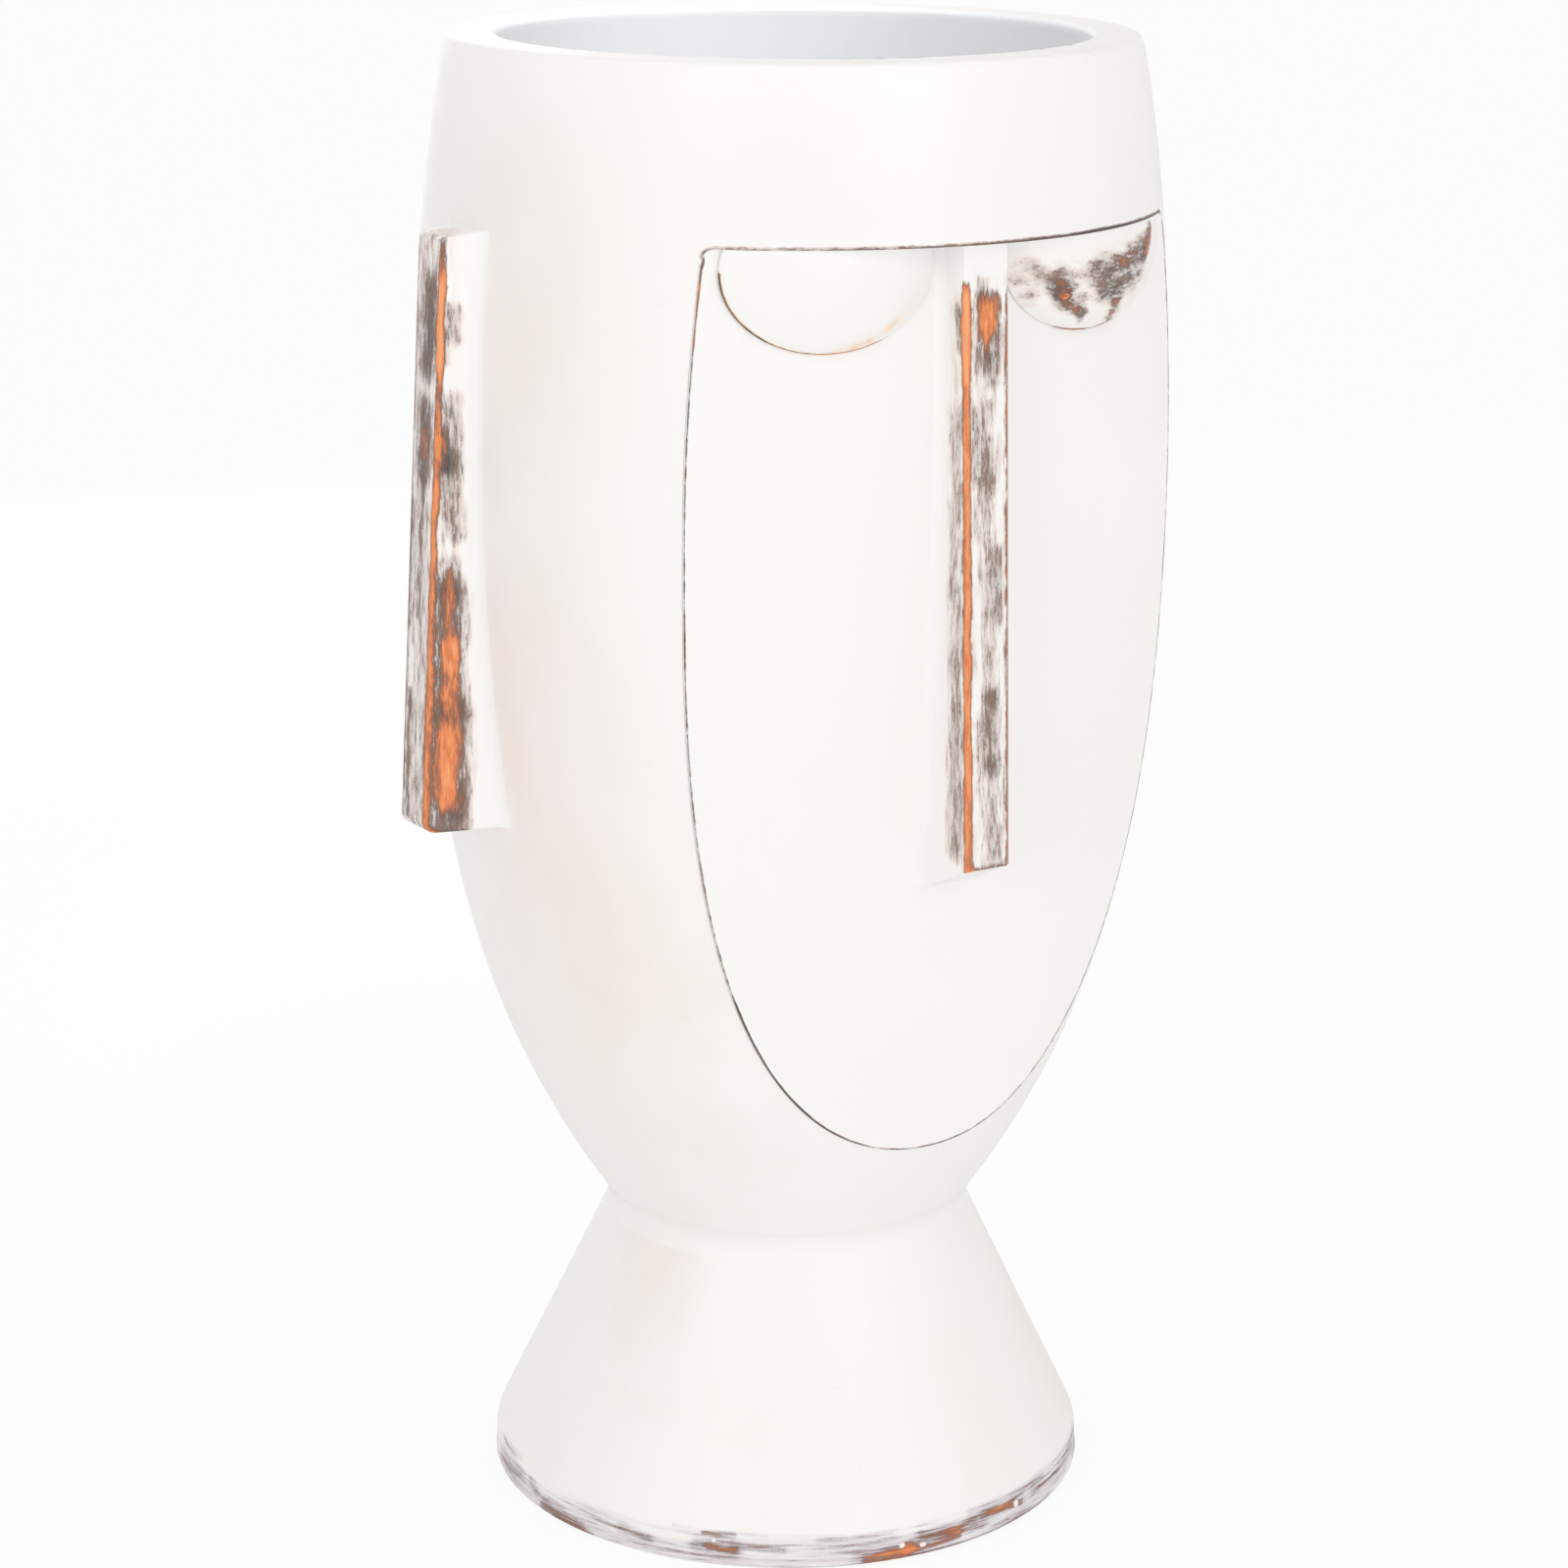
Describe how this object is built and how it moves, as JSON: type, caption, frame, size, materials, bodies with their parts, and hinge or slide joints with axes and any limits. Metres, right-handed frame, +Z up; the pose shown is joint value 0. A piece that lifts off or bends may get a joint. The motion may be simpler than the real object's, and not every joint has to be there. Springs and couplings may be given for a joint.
{
  "type": "cachepot",
  "caption": "Tall cachepot shaped as an abstract head with a bowed face, bar nose, eyelids and bar ears, on a flared hollow foot; holds a potted plant.",
  "frame": {"origin": "on the turning axis of the pot, at the bottom of the foot", "axes": "+Z up along the turning axis, the face looks along -Y, +X towards the ear on the right hand of someone who looks at the face"},
  "size_m": [0.383, 0.3267, 0.66],
  "materials": {
    "white_paint": "satin warm white paint over terracotta, edges rubbed back",
    "rubbed_paint": "white paint rubbed through to dark brown and orange",
    "foot_paint": "satin warm white paint, brown and orange streaks round the base",
    "neck_mortar": "pointed mortar, painted white"
  },
  "bodies": {
    "root": {"head_shell": "white_paint", "face_tile": "white_paint", "eyelid_left": "white_paint", "eyelid_right": "rubbed_paint", "nose": "rubbed_paint", "ear_left": "rubbed_paint", "ear_right": "rubbed_paint", "neck_bed": "neck_mortar", "foot": "foot_paint"}
  },
  "joints": []
}
